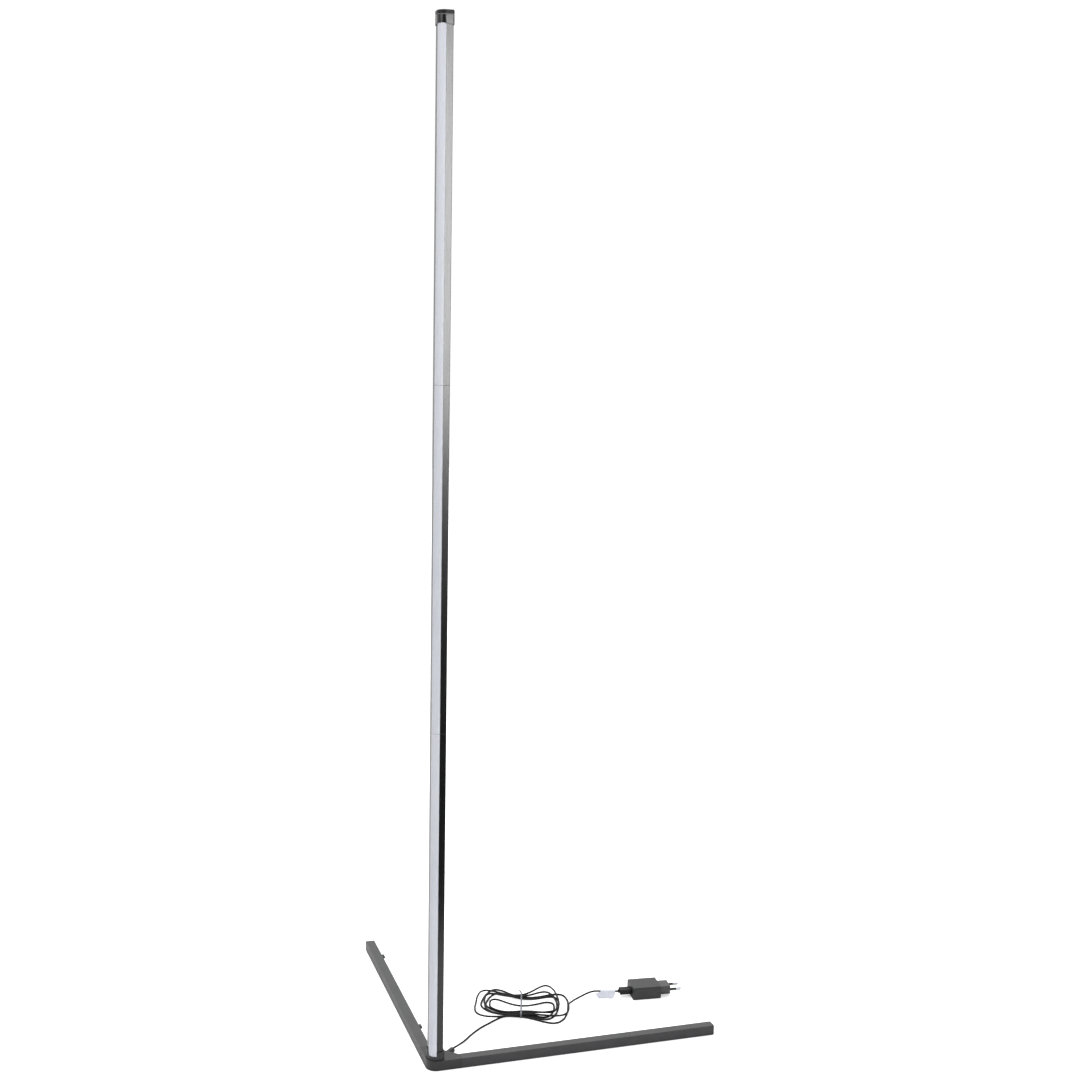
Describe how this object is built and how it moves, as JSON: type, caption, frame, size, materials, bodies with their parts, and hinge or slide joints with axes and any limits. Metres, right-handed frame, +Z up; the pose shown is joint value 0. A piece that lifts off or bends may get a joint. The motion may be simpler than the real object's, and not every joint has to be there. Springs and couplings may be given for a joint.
{
  "type": "corner floor lamp",
  "caption": "Slim upright light column with an opal corner diffuser on an L-shaped base of square tubes, with a thin lead tied in a hank and a plug-in adapter.",
  "frame": {"origin": "middle of the floor area that the base covers, on the floor", "axes": "+Z up the column, the legs run along +X and +Y from the column's corner"},
  "size_m": [0.4626, 0.4544, 1.5],
  "materials": {
    "black_plastic": "fine matt moulded",
    "cap_plastic": "matt moulded",
    "adapter_black": "fine matt moulded",
    "plug_black": "matt moulded",
    "black_steel": "satin powder coat",
    "black_aluminium": "satin black anodised",
    "opal_plastic": "opal white, lets light through",
    "strip_white": "white board",
    "board_green": "circuit board",
    "screw_steel": "zinc plated",
    "plug_steel": "nickel plated",
    "contact_brass": "plain",
    "pad_rubber": "matt",
    "lead_black": "soft satin sheath",
    "tie_clear": "pale film",
    "tag_white": "blank white film"
  },
  "bodies": {
    "lamp": {"corner_connector": "black_plastic", "base_cover": "black_plastic", "cover_screws": "screw_steel", "right_leg": "black_steel", "rear_leg": "black_steel", "right_leg_cap": "black_plastic", "rear_leg_cap": "black_plastic", "leg_screws": "screw_steel", "foot_pads": "pad_rubber", "cord_clips": "black_plastic", "control_board": "board_green", "power_jack": "black_plastic", "pole_lower": "black_aluminium", "pole_middle": "black_aluminium", "pole_upper": "black_aluminium", "diffuser_lower": "opal_plastic", "diffuser_middle": "opal_plastic", "diffuser_upper": "opal_plastic", "led_strip_lower": "strip_white", "led_strip_middle": "strip_white", "led_strip_upper": "strip_white", "coupler_lower": "black_plastic", "coupler_upper": "black_plastic", "contacts_lower": "contact_brass", "contacts_upper": "contact_brass", "cap_sleeve": "cap_plastic", "cap_lid": "cap_plastic", "power_plug": "plug_black", "cord_lead": "lead_black", "cord_hank": "lead_black", "cord_tail": "lead_black", "hank_tie": "tie_clear", "cord_tag": "tag_white", "usb_grip": "plug_black", "usb_shell": "plug_steel", "usb_tongue": "strip_white"},
    "adapter": {"adapter_shell": "adapter_black", "adapter_nose": "adapter_black", "plug_pins": "plug_steel", "pin_sleeves": "plug_black", "usb_port": "adapter_black", "adapter_board": "board_green"}
  },
  "joints": [
    {"name": "adapter_pull", "type": "slide", "parent": "lamp", "child": "adapter", "axis": [0.9954, -0.0958, 0], "range_m": [0, 0.0116]}
  ]
}
